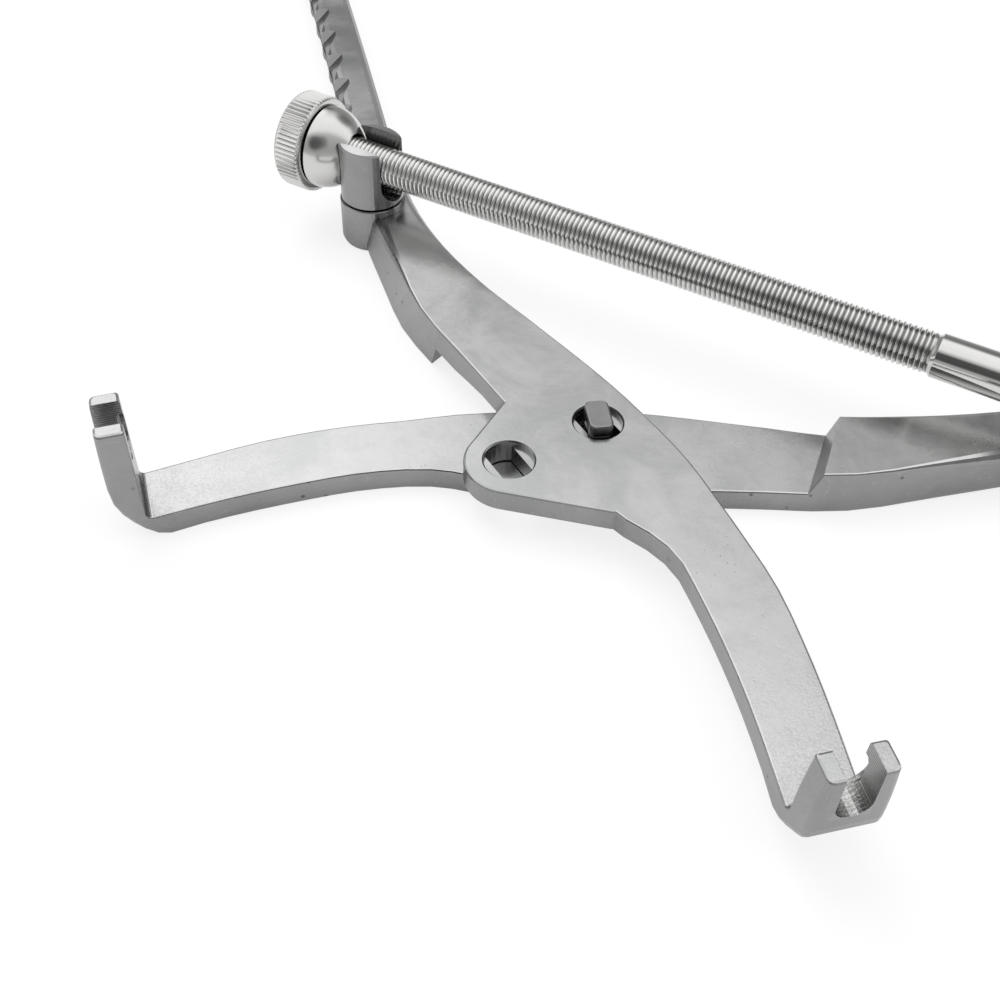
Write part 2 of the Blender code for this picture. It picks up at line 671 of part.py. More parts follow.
def make_slotted_post(finish, parent):
    """Post with the open slot for the spindle and the hollow seat for the nut."""
    post = add_object("slotted_post", post_body(), finish, parent)
    half = SPINDLE_RADIUS + GAP
    floor = ARM_THICKNESS + SADDLE_RISE
    combine(post, slot_tool("slotted_post_slot", half, floor, half - 0.2, parent), "DIFFERENCE")
    hollow = turned(ball_arc(NOSE_RADIUS + GAP, 0.0, 180.0, 19)[:-1] + [(0.0, -NOSE_RADIUS - GAP)],
                    ROUND_SEGMENTS, along_x(-NOSE_OFFSET))
    combine(post, add_object("slotted_post_seat", hollow, parent=parent), "DIFFERENCE")
    return post


def make_clevis_post(finish, parent):
    """Post with the narrow slot and cross hole that hold the spindle's tongue."""
    post = add_object("clevis_post", post_body(), finish, parent)
    half = TONGUE_THICKNESS / 2.0 + GAP
    floor = SPINDLE_HEIGHT - TONGUE_RADIUS - 2.0 * GAP
    combine(post, slot_tool("clevis_post_slot", half, floor, 0.3, parent), "DIFFERENCE")
    combine(post, cross_hole("clevis_post_cross_hole", parent), "DIFFERENCE")
    return post


def cross_hole(name, parent):
    """Hole along Y for the hinge pin."""
    lay = Matrix.Translation((0.0, 0.0, SPINDLE_HEIGHT)) @ Matrix.Rotation(math.radians(90.0), 4, "X")
    reach = POST_RADIUS + 2.0
    hole = turned([(0.0, -reach), (PIN_RADIUS + GAP, -reach), (PIN_RADIUS + GAP, reach), (0.0, reach)],
                  SMALL_SEGMENTS, lay)
    return add_object(name, hole, parent=parent)


def make_hinge_pin(finish, parent):
    """Cross pin through the clevis post."""
    lay = Matrix.Translation((0.0, 0.0, SPINDLE_HEIGHT)) @ Matrix.Rotation(math.radians(90.0), 4, "X")
    reach = POST_RADIUS - 0.4
    pin = turned([(0.0, -reach), (PIN_RADIUS - 0.3, -reach), (PIN_RADIUS, -reach + 0.3),
                  (PIN_RADIUS, reach - 0.3), (PIN_RADIUS - 0.3, reach), (0.0, reach)], SMALL_SEGMENTS, lay)
    return add_object("hinge_pin", pin, finish, parent)


def make_washer(name, finish, parent):
    """Washer under a post, held by its riveted end."""
    low = PEEN_LIFT + PEEN_THICKNESS + GAP
    high = low + WASHER_THICKNESS
    bore = SPIGOT_RADIUS + GAP
    ring = turned([(bore, low), (WASHER_RADIUS - 0.2, low), (WASHER_RADIUS, low + 0.2),
                   (WASHER_RADIUS, high), (bore, high)], SMALL_SEGMENTS)
    return add_object(name, ring, finish, parent)


# Spindle and nut

def make_spindle(finish, parent, length):
    """Spindle with a smooth shank and a flat tongue at the hinge."""
    chamfer = 0.8
    rod = turned([(0.0, -length), (SPINDLE_RADIUS - chamfer, -length),
                  (SPINDLE_RADIUS, chamfer - length), (SPINDLE_RADIUS, -SHANK_LENGTH - 0.8),
                  (SHANK_RADIUS, -SHANK_LENGTH), (SHANK_RADIUS, -SHANK_START - 0.6),
                  (SHANK_RADIUS - 0.6, -SHANK_START), (0.0, -SHANK_START)], SMALL_SEGMENTS + 4, along_x())
    spindle = add_object("threaded_spindle", rod, finish, parent)
    circles = [(0.0, 0.0, TONGUE_RADIUS), (-SHANK_START - 2.0, 0.0, 3.2)]
    tongue = rounded_plate(circles, -TONGUE_THICKNESS / 2.0, TONGUE_THICKNESS / 2.0, 0.3)
    stand = Matrix.Translation((0.0, 0.0, SPINDLE_HEIGHT)) @ Matrix.Rotation(math.radians(90.0), 4, "X")
    bmesh.ops.transform(tongue, matrix=stand, verts=tongue.verts)
    combine(spindle, add_object("spindle_tongue", tongue, parent=parent), "UNION")
    combine(spindle, cross_hole("spindle_cross_hole", parent), "DIFFERENCE")
    return spindle


def make_ball_nut(finish, parent):
    """Threaded nut with a ball nose and a sleeve that carries the wheel."""
    bore = SPINDLE_RADIUS + GAP
    sleeve = WHEEL_BORE - GAP
    mouth = math.degrees(math.asin((bore + 0.5) / NOSE_RADIUS))
    nose = ball_arc(NOSE_RADIUS, 88.0, mouth, 12)
    outer = -WHEEL_THICKNESS - GAP
    profile = [(bore + 0.5, outer), (sleeve - 0.4, outer), (sleeve, outer + 0.4), (sleeve, -0.1),
               (NOSE_RADIUS - 0.2, -0.1)] + nose
    profile += [(bore, nose[-1][1] - 0.5), (bore, outer + 0.5)]
    return add_object("ball_nut", turned(profile, ROUND_SEGMENTS, along_x(-NOSE_OFFSET)), finish, parent)


def make_wheel(finish, parent):
    """Knurled ring pressed on the nut."""
    low, high = -WHEEL_THICKNESS - GAP, -0.1 - GAP
    grooved = WHEEL_RADIUS - 0.5

    def ridge(radius, i):
        return radius - KNURL_DEPTH if radius > grooved and i % 2 else radius

    profile = [(WHEEL_BORE, low), (WHEEL_RADIUS - 1.0, low), (WHEEL_RADIUS, low + 0.6),
               (WHEEL_RADIUS, high - 0.6), (WHEEL_RADIUS - 0.8, high), (WHEEL_BORE, high)]
    ring = turned(profile, 2 * KNURL_COUNT, along_x(-NOSE_OFFSET), ridge)
    return add_object("knurled_wheel", ring, finish, parent, smooth_angle=20.0)


def pivot_empty(name, place, parent):
    made = bpy.data.objects.new(name, None)
    bpy.context.scene.collection.objects.link(made)
    made.location = place
    made.parent = parent
    return made


def build():
    clear_scene()
    frame = pivot_empty("drawing", (0.0, 0.0, 0.0), None)
    frame.rotation_euler.z = math.radians(-FORK_ANGLE)
    left = pivot_empty("slotted_post_axis", (-POST.x * MM, POST.y * MM, 0.0), frame)
    right = pivot_empty("clevis_post_axis", (POST.x * MM, POST.y * MM, 0.0), frame)

    make_upper_arm(steel("upper_arm_steel", (0.62, 0.62, 0.60), 0.34), frame)
    make_lower_arm(steel("lower_arm_steel", (0.62, 0.62, 0.60), 0.34), frame)
    make_pivot_pin(steel("pin_steel", (0.52, 0.52, 0.50), 0.38), frame)
    make_slotted_post(steel("slotted_post_steel", (0.60, 0.60, 0.59), 0.34), left)
    make_washer("slotted_post_washer", steel("left_washer_steel", (0.60, 0.60, 0.59), 0.4), left)
    make_clevis_post(steel("clevis_post_steel", (0.60, 0.60, 0.59), 0.34), right)
    make_washer("clevis_post_washer", steel("right_washer_steel", (0.60, 0.60, 0.59), 0.4), right)
    make_hinge_pin(steel("hinge_pin_steel", (0.64, 0.64, 0.63), 0.3), right)
    spindle_length = 2.0 * POST.x + NOSE_OFFSET + WHEEL_THICKNESS
    make_spindle(steel("spindle_steel", (0.70, 0.70, 0.69), 0.2), right, spindle_length)
    make_ball_nut(steel("nut_steel", (0.72, 0.72, 0.71), 0.12), left)
    make_wheel(steel("wheel_steel", (0.68, 0.68, 0.67), 0.28), left)


build()
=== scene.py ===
"""Studio scene of the pelvic reduction forceps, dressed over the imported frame."""
import math

import bmesh
import bpy
from mathutils import Matrix, Vector


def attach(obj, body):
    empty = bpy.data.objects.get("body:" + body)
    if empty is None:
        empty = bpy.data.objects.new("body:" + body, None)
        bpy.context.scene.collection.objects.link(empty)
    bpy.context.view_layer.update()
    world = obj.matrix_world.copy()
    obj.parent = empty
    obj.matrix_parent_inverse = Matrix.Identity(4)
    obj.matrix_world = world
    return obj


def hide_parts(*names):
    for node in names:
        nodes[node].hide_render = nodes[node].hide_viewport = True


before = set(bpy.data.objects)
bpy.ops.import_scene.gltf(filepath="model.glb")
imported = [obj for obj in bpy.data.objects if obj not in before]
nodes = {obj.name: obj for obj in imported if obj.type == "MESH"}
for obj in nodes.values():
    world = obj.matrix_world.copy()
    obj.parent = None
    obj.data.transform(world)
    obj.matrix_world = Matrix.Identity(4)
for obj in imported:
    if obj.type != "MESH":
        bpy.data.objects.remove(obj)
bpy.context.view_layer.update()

# Sizes of the part in millimetres and degrees, measured in its symmetric drawing
MM = 0.001
TURN = -47.0                   # from the drawing to the frame
ARM_TOP = 9.9
SPINDLE_Z = ARM_TOP + 9.5
POST_REACH, POST_ANGLE = 86.5, 27.5
FORK_REACH, FORK_PLACE, FORK_ANGLE = 86.0, 40.9, 47.0
NOTCH_FLOOR, NOTCH_HALF = ARM_TOP + 5.3, 2.85
NOSE_OFFSET, NOSE_RADIUS = 12.0, 9.1
WHEEL_RADIUS, WHEEL_THICKNESS, WHEEL_BORE = 10.6, 6.7, 7.3
WHEEL_BACK, WHEEL_FRONT = -WHEEL_THICKNESS - 0.3, -0.4         # from the centre of the ball
SPINDLE_RADIUS, SHANK_RADIUS = 4.1, 4.35
SHANK_LENGTH, SHANK_START = 26.2, 8.2
THREAD_PITCH, THREAD_DEPTH = 1.05, 0.40
THREAD_ROOT = SPINDLE_RADIUS - THREAD_DEPTH
TONGUE_RADIUS, TONGUE_THICKNESS, PIN_RADIUS = 5.6, 5.0, 1.65
BORE_GAP = 0.3                 # round the spindle in the nut, and round the pin in the tongue
SHARP_ANGLE = 30.0             # edges bent more than this are shaded sharp


def polar(angle, radius):
    """Point in the plane that the forceps lie on."""
    turn = math.radians(angle)
    return Vector((radius * math.cos(turn), radius * math.sin(turn), 0.0))


RIGHT_POST = polar(POST_ANGLE + TURN, POST_REACH)
LEFT_POST = polar(180.0 - POST_ANGLE + TURN, POST_REACH)
SPINDLE_LENGTH = (RIGHT_POST - LEFT_POST).length + NOSE_OFFSET + WHEEL_THICKNESS


# Materials

class Graph:
    """Small helper for building a node material. Noise and cell scales count repeats per metre."""

    def __init__(self, name, metallic=1.0):
        self.material = bpy.data.materials.new(name)
        self.material.use_nodes = True
        self.tree = self.material.node_tree
        self.shader = self.tree.nodes["Principled BSDF"]
        self.shader.inputs["Metallic"].default_value = metallic
        self.where = self.add("ShaderNodeTexCoord").outputs["Object"]

    def add(self, kind, **settings):
        node = self.tree.nodes.new(kind)
        for key, value in settings.items():
            setattr(node, key, value)
        return node

    def link(self, source, target):
        self.tree.links.new(source, target)

    def put(self, target, value):
        """Links an output, or sets a plain value."""
        if isinstance(value, bpy.types.NodeSocket):
            self.link(value, target)
        else:
            target.default_value = value

    def placed(self, scale, turn):
        """Coordinates turned about the vertical and stretched along each axis."""
        node = self.add("ShaderNodeMapping")
        node.inputs["Scale"].default_value = scale
        node.inputs["Rotation"].default_value = (0.0, 0.0, math.radians(turn))
        self.link(self.where, node.inputs["Vector"])
        return node.outputs["Vector"]

    def local(self, place, height, facing):
        """Separate coordinates from a place at a height, with X along an angle in radians."""
        node = self.add("ShaderNodeMapping")
        node.inputs["Rotation"].default_value = (0.0, 0.0, -facing)
        back = Matrix.Rotation(-facing, 3, "Z") @ (place * MM)
        node.inputs["Location"].default_value = (-back.x, -back.y, -height * MM)
        self.link(self.where, node.inputs["Vector"])
        split = self.add("ShaderNodeSeparateXYZ")
        self.link(node.outputs["Vector"], split.inputs[0])
        return split.outputs

    def noise(self, scale, detail, rough, vector=None, distortion=0.0):
        node = self.add("ShaderNodeTexNoise")
        self.link(vector or self.where, node.inputs["Vector"])
        node.inputs["Scale"].default_value = scale
        node.inputs["Detail"].default_value = detail
        node.inputs["Roughness"].default_value = rough
        node.inputs["Distortion"].default_value = distortion
        return node.outputs["Fac"]

    def cells(self, scale):
        node = self.add("ShaderNodeTexVoronoi")
        self.link(self.where, node.inputs["Vector"])
        node.inputs["Scale"].default_value = scale
        return node.outputs["Distance"]

    def ramp(self, value, stops, smooth=False):
        """Level by value, between stops of position and level."""
        node = self.add("ShaderNodeValToRGB")
        self.link(value, node.inputs["Fac"])
        if smooth:
            node.color_ramp.interpolation = "EASE"
        points = node.color_ramp.elements
        while len(points) < len(stops):
            points.new(0.5)
        for point, (at, level) in zip(points, stops):
            point.position = at
            point.color = (level, level, level, 1.0)
        return node.outputs["Color"]

    def rising(self, value, low, high, smooth=False):
        """0 up to the low value, 1 from the high one."""
        return self.ramp(value, ((low, 0.0), (high, 1.0)), smooth)

    def falling(self, value, low, high, smooth=False):
        """1 up to the low value, 0 from the high one."""
        return self.ramp(value, ((low, 1.0), (high, 0.0)), smooth)

    def math(self, operation, a, b=0.0):
        node = self.add("ShaderNodeMath", operation=operation)
        self.put(node.inputs[0], a)
        self.put(node.inputs[1], b)
        return node.outputs["Value"]

    def times(self, a, b):
        return self.math("MULTIPLY", a, b)

    def plus(self, a, b):
        return self.math("ADD", a, b)

    def span(self, value, low, high, new_low, new_high):
        """Straight change from one pair of levels to another, and no further."""
        node = self.add("ShaderNodeMapRange")
        self.link(value, node.inputs["Value"])
        levels = {"From Min": low, "From Max": high, "To Min": new_low, "To Max": new_high}
        for key, number in levels.items():
            node.inputs[key].default_value = number
        return node.outputs["Result"]

    def mix(self, factor, a, b):
        node = self.add("ShaderNodeMix", data_type="RGBA")
        self.put(node.inputs["Factor"], factor)
        for socket, value in ((node.inputs[6], a), (node.inputs[7], b)):
            self.put(socket, (*value, 1.0) if isinstance(value, tuple) else value)
        return node.outputs[2]

    def tint(self, colour, mask, share, other):
        """Adds a share of another colour where the mask is 1."""
        return self.mix(self.times(mask, share), colour, other)

    def spots(self, scale, size, zones, cover):
        """Small round spots, only where the zones reach the cover."""
        return self.times(self.falling(self.cells(scale), *size), self.rising(zones, *cover))

    def bump(self, height, depth, strength, below=None):
        """Relief with a depth in millimetres, over the normal of the relief below."""
        node = self.add("ShaderNodeBump")
        self.link(height, node.inputs["Height"])
        node.inputs["Distance"].default_value = depth * MM
        node.inputs["Strength"].default_value = strength
        if below is not None:
            self.link(below, node.inputs["Normal"])
        return node.outputs["Normal"]

    def upward(self):
        """1 on faces that look up or down, 0 on upright ones."""
        split = self.add("ShaderNodeSeparateXYZ")
        self.link(self.add("ShaderNodeNewGeometry").outputs["Normal"], split.inputs[0])
        return self.math("ABSOLUTE", split.outputs["Z"])

    def done(self, colour, roughness, normal):
        self.put(self.shader.inputs["Base Color"], colour)
        self.put(self.shader.inputs["Roughness"], roughness)
        self.put(self.shader.inputs["Normal"], normal)
        return self.material


# Greys of which a share is mixed into the steel's tone: the side and groove greys are painted
# shade, the edge grey a painted dark reflection, the others the steel's own colour
CLOUD_GREY = (0.30, 0.305, 0.30)
SIDE_SHADE_GREY = (0.13, 0.132, 0.13)
EDGE_REFLECTION_GREY = (0.07, 0.07, 0.07)
PIT_GREY = (0.12, 0.12, 0.115)
NICK_GREY = (0.04, 0.04, 0.04)
SCRATCH_GREY = (0.85, 0.85, 0.84)
CUT_DARK, CUT_LIGHT = (0.12, 0.12, 0.12), (0.56, 0.56, 0.55)
BLAST_DARK, BLAST_LIGHT = (0.24, 0.245, 0.24), (0.74, 0.74, 0.73)
SPECK_GREY = (0.2, 0.2, 0.19)
GROOVE_SHADE_GREY = (0.08, 0.08, 0.08)

# Cutter marks in a fork's notch, and the blasted zone round it
NOTCH_SKIN, NOTCH_REACH, NOTCH_SINK = 0.12, 6.5, 0.2
FLOOR_PITCH, WALL_PITCH = 0.62, 0.48
BLAST_FAR, BLAST_NEAR = 38.0, 8.0


def notch_lines(g, place, facing):
    """Cutter marks that run through a fork's notch: a mask for its walls, and the lines."""
    at = g.local(place, NOTCH_FLOOR, facing)
    inside = g.math("LESS_THAN", g.math("ABSOLUTE", at["Y"]), (NOTCH_HALF + NOTCH_SKIN) * MM)
    near = g.math("LESS_THAN", g.math("ABSOLUTE", at["X"]), NOTCH_REACH * MM)
    above = g.math("GREATER_THAN", at["Z"], -NOTCH_SINK * MM)
    mask = g.times(g.times(inside, near), above)
    steep = g.falling(g.upward(), 0.3, 0.6)

    def marks(way, pitch, scale, wander):
        waver = g.times(g.noise(scale, 3.0, 0.6), wander)
        run = g.plus(g.times(at[way], 2.0 * math.pi / (pitch * MM)), waver)
        return g.span(g.math("SINE", run), -1.0, 1.0, 0.0, 1.0)

    lines = g.mix(steep, marks("X", FLOOR_PITCH, 1500.0, 16.0), marks("Z", WALL_PITCH, 900.0, 1.6))
    return mask, lines


def fork_finish(g, place, facing, colour, normal, side, speckle, grain):
    """Cutter marks in the notch, and a speckled blasted finish on the flats round the fork."""
    mask, lines = notch_lines(g, place, facing)
    colour = g.tint(colour, mask, 0.55, g.mix(lines, CUT_DARK, CUT_LIGHT))
    normal = g.bump(g.times(lines, mask), 0.04, 0.4, normal)
    reach = g.add("ShaderNodeVectorMath", operation="DISTANCE")
    g.link(g.where, reach.inputs[0])
    reach.inputs[1].default_value = place * MM
    zone = g.span(reach.outputs["Value"], BLAST_FAR * MM, BLAST_NEAR * MM, 0.0, 1.0)
    flat = g.falling(side, 0.0, 0.6)
    spotted = g.mix(speckle, BLAST_DARK, BLAST_LIGHT)
    colour = g.tint(colour, g.times(zone, flat), 0.24, spotted)
    normal = g.bump(g.times(grain, zone), 0.06, 0.55, normal)
    return colour, normal


def satin_steel(name, tone=0.62, rough=0.22, fork=None):
    """Ground and blasted steel: cloudy tone, grain, fine pits, scratches, painted shade on the
    sides and a painted dark reflection along the edges.

    An arm gives its fork's place and the angle that the notch faces, and gets cutter marks there.
    """
    g = Graph(name)
    cloud = g.noise(52.0, 5.0, 0.60, distortion=0.5)
    patchy = g.noise(240.0, 4.0, 0.68, distortion=0.8)
    fine = g.noise(1500.0, 3.0, 0.6)
    grain = g.noise(2400.0, 3.0, 0.65)
    nicks = g.spots(330.0, (0.10, 0.17), g.noise(48.0, 2.0, 0.5), (0.56, 0.62))
    pits = g.spots(760.0, (0.06, 0.13), g.noise(75.0, 3.0, 0.6), (0.55, 0.72))
    scratches = g.rising(g.noise(1.0, 3.0, 0.6, g.placed((90.0, 5200.0, 900.0), 62.0)), 0.60, 0.70)
    crossing = g.rising(g.noise(1.0, 2.0, 0.6, g.placed((120.0, 6400.0, 900.0), -24.0)), 0.66, 0.74)
    up = g.upward()
    side = g.falling(up, 0.20, 0.72, smooth=True)
    edge = g.times(g.rising(up, 0.25, 0.50), g.falling(up, 0.85, 0.96))
    worn = g.times(nicks, g.math("MAXIMUM", edge, side))

    light = tuple(tone * c for c in (0.99, 1.0, 0.99))
    dark = tuple(tone * 0.80 * c for c in (0.985, 1.0, 0.995))
    colour = g.mix(g.rising(cloud, 0.32, 0.68, smooth=True), dark, light)
    colour = g.tint(colour, g.rising(patchy, 0.45, 0.75), 0.14, CLOUD_GREY)
    # Painted shade: upright faces are made darker by their slope
    colour = g.tint(colour, side, 0.66, SIDE_SHADE_GREY)
    # Painted dark reflection: a dark line on the rounded edges between top and side
    colour = g.tint(colour, edge, 0.72, EDGE_REFLECTION_GREY)
    colour = g.tint(colour, pits, 0.35, PIT_GREY)
    colour = g.tint(colour, worn, 0.65, NICK_GREY)
    colour = g.tint(colour, scratches, 0.08, SCRATCH_GREY)

    roughness = g.plus(g.span(cloud, 0.3, 0.7, rough - 0.05, rough + 0.07), g.times(side, 0.06))
    roughness = g.plus(roughness, g.times(pits, 0.2))

    normal = g.bump(g.plus(g.times(fine, 0.6), g.times(grain, 0.4)), 0.03, 0.45)
    normal = g.bump(g.plus(scratches, crossing), 0.004, 0.5, normal)
    normal = g.bump(g.times(g.plus(pits, worn), -1.0), 0.04, 0.6, normal)
    normal = g.bump(g.noise(120.0, 2.0, 0.5), 0.14, 0.35, normal)
    if fork is not None:
        speckle = g.rising(g.mix(0.4, grain, patchy), 0.40, 0.56)
        colour, normal = fork_finish(g, *fork, colour, normal, side, speckle, grain)
    return g.done(colour, roughness, normal)


def polished_steel(name, tone, rough, waves=0.25, groove=None):
    """Buffed steel with very fine wipe marks.

    A thread gives the radius of its root and its crest as groove, and gets painted shade between
    them.
    """
    g = Graph(name)
    cloud = g.noise(120.0, 3.0, 0.5)
    wipe = g.noise(1.0, 3.0, 0.6, g.placed((500.0, 4200.0, 4200.0), 27.0))
    specks = g.spots(700.0, (0.05, 0.10), g.noise(200.0, 2.0, 0.5), (0.58, 0.66))
    light = tuple(tone * c for c in (1.0, 0.995, 0.985))
    dark = tuple(tone * 0.88 * c for c in (1.0, 0.99, 0.975))
    colour = g.mix(cloud, dark, light)
    colour = g.tint(colour, specks, 0.4, SPECK_GREY)
    if groove is not None:
        root, crest = groove
        at = g.local(RIGHT_POST, SPINDLE_Z, math.radians(TURN))
        across = g.math("POWER", at["Y"], 2.0)
        reach = g.math("SQRT", g.plus(across, g.math("POWER", at["Z"], 2.0)))
        deep = g.span(reach, root * MM, crest * MM, 1.0, 0.0)
        # Painted shade in the thread's grooves, darkest at the root
        colour = g.tint(colour, deep, 0.62, GROOVE_SHADE_GREY)
    roughness = g.span(wipe, 0.3, 0.7, rough, rough + 0.06)
    normal = g.bump(wipe, 0.004, waves)
    return g.done(colour, roughness, normal)


# Meshes

def add_object(name, bm, material):
    """Object with this mesh and material, linked to the scene."""
    mesh = bpy.data.meshes.new(name)
    bm.to_mesh(mesh)
    bm.free()
    mesh.materials.append(material)
    made = bpy.data.objects.new(name, mesh)
    bpy.context.scene.collection.objects.link(made)
    return made


def shade(mesh, sharp):
    """Smooth shading, with edges above this angle left sharp."""
    mesh.shade_smooth()
    mesh.set_sharp_from_angle(angle=math.radians(sharp))


def finish_mesh(name, bm, material, body, node, place, sharp=SHARP_ANGLE):
    """Piece drawn in millimetres, in its place on a body, for a node where one is named."""
    bm.transform(Matrix.Scale(MM, 4) @ place)
    bmesh.ops.recalc_face_normals(bm, faces=bm.faces)
    made = add_object(name, bm, material)
    shade(made.data, sharp)
    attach(made, body)
    if node:
        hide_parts(node)
    return made


def round_x(x, radius, angle):
    """Point at an angle about the X axis."""
    return Vector((x, radius * math.cos(angle), radius * math.sin(angle)))


def skin(rings):
    """Closed skin over rings of equal length, from the last one back to the first."""
    bm = bmesh.new()
    rows = [[bm.verts.new(point) for point in ring] for ring in rings]
    count = len(rows[0])
    for near, far in zip(rows, rows[1:] + rows[:1]):
        for i in range(count):
            j = (i + 1) % count
            bm.faces.new((near[i], near[j], far[j], far[i]))
    return bm


def lathe(profile, count, cut=None):
    """Closed profile of (x, radius) turned about X, with each point moved by a cut."""
    rings = []
    for x, radius in profile:
        ring = [round_x(x, radius, 2.0 * math.pi * i / count) for i in range(count)]
        if cut is not None:
            ring = [cut(point, radius, i) for i, point in enumerate(ring)]
        rings.append(ring)
    return skin(rings)


def ball(radius, start, end, count):
    """Profile on a ball at the origin, angles in degrees from +X."""
    steps = [math.radians(start + (end - start) * i / (count - 1)) for i in range(count)]
    return [(radius * math.cos(a), radius * math.sin(a)) for a in steps]


def spindle_place(post, along=0.0):
    """Puts a shape drawn along +X onto the spindle axis, measured from a post."""
    raised = Matrix.Translation(post + Vector((0.0, 0.0, SPINDLE_Z)))
    turned = Matrix.Rotation(math.radians(TURN), 4, "Z")
    return raised @ turned @ Matrix.Translation((along, 0.0, 0.0))


# Thread: steps to a turn, share of the pitch and of the depth, and how it starts and ends
THREAD_STEPS = 34
THREAD_PROFILE = ((0.0, 0.0), (0.12, 0.22), (0.26, 0.70), (0.40, 0.96),
                  (0.52, 1.0), (0.64, 0.92), (0.78, 0.55), (0.90, 0.14))
THREAD_RELIEF, THREAD_RUN_OUT = 0.6, 1.2
TIP_LENGTH, TIP_DROP = 0.8, 0.25
MERGE_GAP = 0.0001             # points this close, at the ends of the thread, become one


def thread_mesh():
    """True helical thread, with one winding line for each step of the profile."""
    start, end = -SPINDLE_LENGTH, -SHANK_LENGTH - THREAD_RELIEF
    steps = int((end - start) / THREAD_PITCH * THREAD_STEPS)
    depth = SPINDLE_RADIUS - THREAD_ROOT
    lines = []
    for part, lift in THREAD_PROFILE:
        line = []
        for k in range(-THREAD_STEPS, steps + 1):
            x = start + (k / THREAD_STEPS + part) * THREAD_PITCH
            tip = min(max((x - start) / TIP_LENGTH, 0.0), 1.0)
            run_out = min(max((end - x) / THREAD_RUN_OUT, 0.0), 1.0)
            radius = THREAD_ROOT + depth * lift * run_out
            radius = min(radius, THREAD_ROOT - TIP_DROP + tip * (depth + TIP_DROP))
            x = min(max(x, start), end)
            line.append(round_x(x, radius, 2.0 * math.pi * k / THREAD_STEPS))
        lines.append(line)
    bm = bmesh.new()
    rows = [[bm.verts.new(point) for point in line] for line in lines]
    # The last line joins the first one a turn further on
    rows.append(rows[0][THREAD_STEPS:] + [None] * THREAD_STEPS)
    for near, far in zip(rows, rows[1:]):
        for i in range(len(near) - 1):
            corners = (near[i], near[i + 1], far[i + 1], far[i])
            if None not in corners:
                bm.faces.new(corners)
    bmesh.ops.remove_doubles(bm, verts=bm.verts, dist=MERGE_GAP)
    return bm


# Shank and core: a small hole along the axis makes their profile a closed ring
AXIS_HOLE = 0.3
CORE_RADIUS = THREAD_ROOT - 0.02
CORE_START, CORE_BEVEL = 0.05, 0.3
SHANK_CHAMFER = 0.8
SHANK_SIDES = 64


def shank_mesh():
    """Core under the thread, and the smooth shank."""
    tip = -SPINDLE_LENGTH
    profile = [(tip + CORE_START, AXIS_HOLE), (tip + CORE_START, THREAD_ROOT - CORE_BEVEL),
               (tip + CORE_BEVEL, CORE_RADIUS), (-SHANK_LENGTH - 1.0, CORE_RADIUS),
               (-SHANK_LENGTH - 0.5, SHANK_RADIUS - 0.35), (-SHANK_LENGTH - 0.1, SHANK_RADIUS),
               (-SHANK_START - SHANK_CHAMFER, SHANK_RADIUS),
               (-SHANK_START, SHANK_RADIUS - SHANK_CHAMFER), (-SHANK_START, AXIS_HOLE)]
    return lathe(profile, SHANK_SIDES)


# Tongue: sides of its outline, the radius of its tail inside the shank, and its two bevels
TONGUE_SIDES = 48
TAIL_START, TAIL_RADIUS = -SHANK_START - 2.0, 3.2
EYE_BEVEL, TONGUE_BEVEL = 0.2, 0.35


def tongue_mesh():
    """Flat eye with a hole for the hinge pin, and a tail that runs into the shank."""
    eye, tail = (0.0, TONGUE_RADIUS), (TAIL_START, TAIL_RADIUS)
    hole = PIN_RADIUS + BORE_GAP
    outer, inner = [], []
    for i in range(TONGUE_SIDES):
        way = polar(360.0 * i / TONGUE_SIDES, 1.0)
        centre, radius = max((eye, tail), key=lambda c: c[0] * way.x + c[1])
        outer.append((centre + radius * way.x, radius * way.y))
        inner.append((hole * way.x, hole * way.y))
    half = TONGUE_THICKNESS / 2.0
    levels = ((inner, -half + EYE_BEVEL, 0.0), (inner, half - EYE_BEVEL, 0.0),
              (inner, half, -EYE_BEVEL), (outer, half, TONGUE_BEVEL),
              (outer, half - TONGUE_BEVEL, 0.0), (outer, -half + TONGUE_BEVEL, 0.0),
              (outer, -half, TONGUE_BEVEL), (inner, -half, -EYE_BEVEL))
    rings = []
    for outline, level, inset in levels:
        ring = []
        for x, z in outline:
            pull = 1.0 - inset / math.hypot(x, z)
            ring.append(Vector((x * pull, level, z * pull)))
        rings.append(ring)
    return skin(rings)


# Nut: bevels of its bore and neck, play of the neck in the wheel, sides and steps of the ball
NUT_BEVEL, NECK_BEVEL, NECK_PLAY = 0.5, 0.45, 0.45
NUT_SIDES, NOSE_STEPS, NOSE_START = 96, 40, 88.0


def nut_mesh():
    """Ball nose round the origin, and a neck that runs through the wheel, with a bevelled bore."""
    bore = SPINDLE_RADIUS + BORE_GAP
    mouth = math.degrees(math.asin((bore + NUT_BEVEL) / NOSE_RADIUS))
    neck = WHEEL_BORE - NECK_PLAY
    profile = [(WHEEL_BACK + NUT_BEVEL, bore), (WHEEL_BACK, bore + NUT_BEVEL),
               (WHEEL_BACK, neck - NECK_BEVEL), (WHEEL_BACK + 0.4, neck), (WHEEL_FRONT, neck),
               (-0.1, NOSE_RADIUS - 0.35)]
    profile += ball(NOSE_RADIUS, NOSE_START, mouth, NOSE_STEPS)
    profile += [(NOSE_RADIUS * math.cos(math.radians(mouth)) - NUT_BEVEL, bore)]
    return lathe(profile, NUT_SIDES)


# Wheel: its teeth, the bevel of its bore, and its rim, how far in from the face and below the top
KNURLS, KNURL_STEPS = 64, 6
WHEEL_BEVEL = 0.3
KNURL_EDGE, KNURL_FADE, KNURL_DEPTH, KNURL_POWER = 0.36, 0.3, 0.40, 0.7
BACK_RIM = ((0.0, 0.9), (0.15, 0.62), (0.4, KNURL_EDGE), (0.65, 0.06), (0.85, 0.0))
FRONT_RIM = ((0.65, 0.0), (0.5, 0.06), (0.3, KNURL_EDGE), (0.12, 0.7), (0.0, 1.0))


